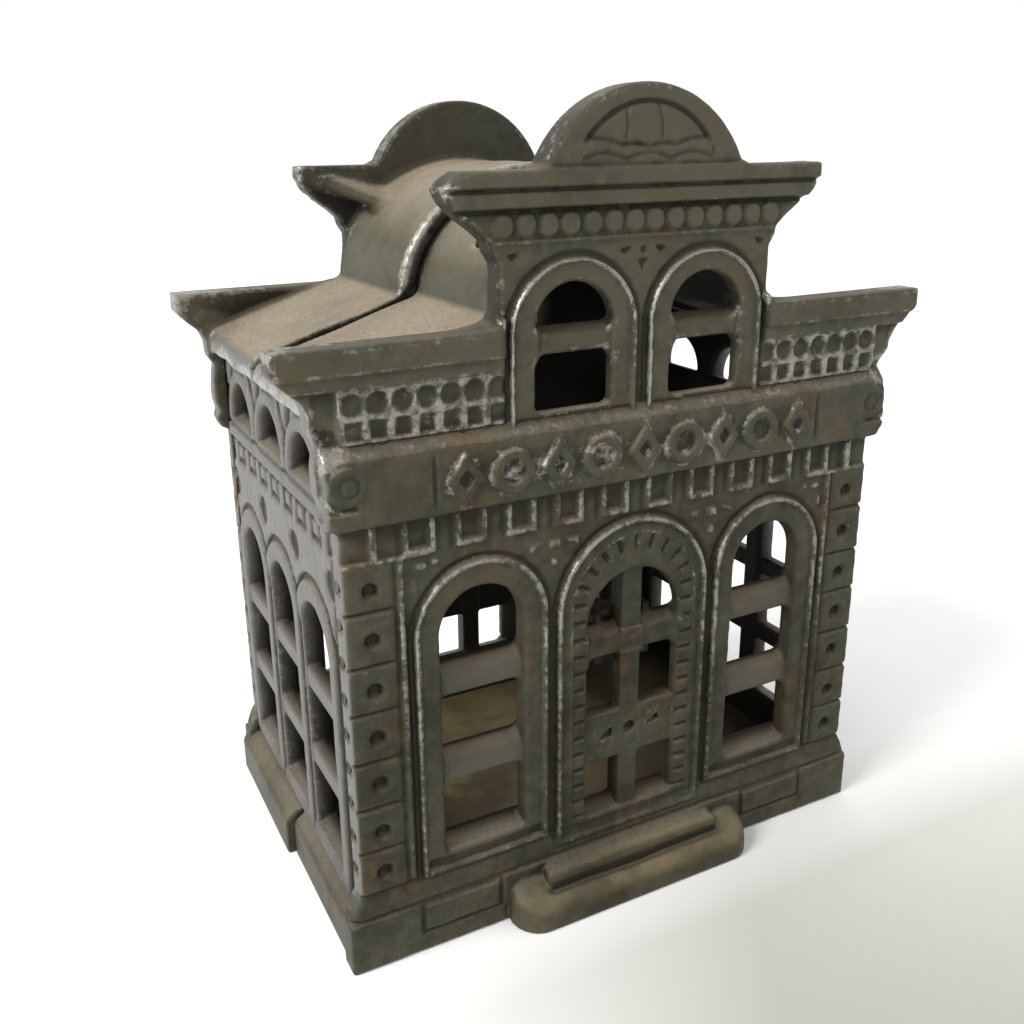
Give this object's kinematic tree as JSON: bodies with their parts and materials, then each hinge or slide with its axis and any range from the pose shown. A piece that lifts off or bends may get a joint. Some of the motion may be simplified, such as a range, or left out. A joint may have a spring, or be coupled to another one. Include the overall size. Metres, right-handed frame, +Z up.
{
  "type": "cast iron still bank",
  "caption": "Coin bank cast as a small bank building: two iron facades with half roofs, two barred side walls and one tie screw.",
  "frame": {"origin": "centre of the underside of the whole object, at table level", "axes": "+Z up, -Y out of the front door, +X to the right of someone facing the front"},
  "size_m": [0.0928, 0.0636, 0.108],
  "materials": {
    "cast_iron": "old bare iron, dark olive brown, rubbed to bright metal on the edges, with dust and rust",
    "screw_steel": "dull and rusty"
  },
  "bodies": {
    "front_half": {"front_casting": "cast_iron", "left_side_wall": "cast_iron", "right_side_wall": "cast_iron", "square_nut": "screw_steel"},
    "rear_half": {"rear_casting": "cast_iron"},
    "washer": {"screw_washer": "screw_steel"},
    "screw": {"tie_screw": "screw_steel"}
  },
  "joints": [
    {"name": "rear_half_draws_off", "type": "slide", "parent": "front_half", "child": "rear_half", "axis": [0, 1, 0], "range_m": [0, 0.06]},
    {"name": "screw_travel", "type": "slide", "parent": "rear_half", "child": "washer", "axis": [0, 1, 0], "range_m": [0, 0.00635]},
    {"name": "screw_turn", "type": "hinge", "parent": "washer", "child": "screw", "pos_m": [0, 0.02, 0.038], "axis": [0, 1, 0], "range_deg": [0, 2880]}
  ],
  "couplings": [
    {"joint": "screw_turn", "follows": "screw_travel", "rad_per_m": 7915.8}
  ]
}
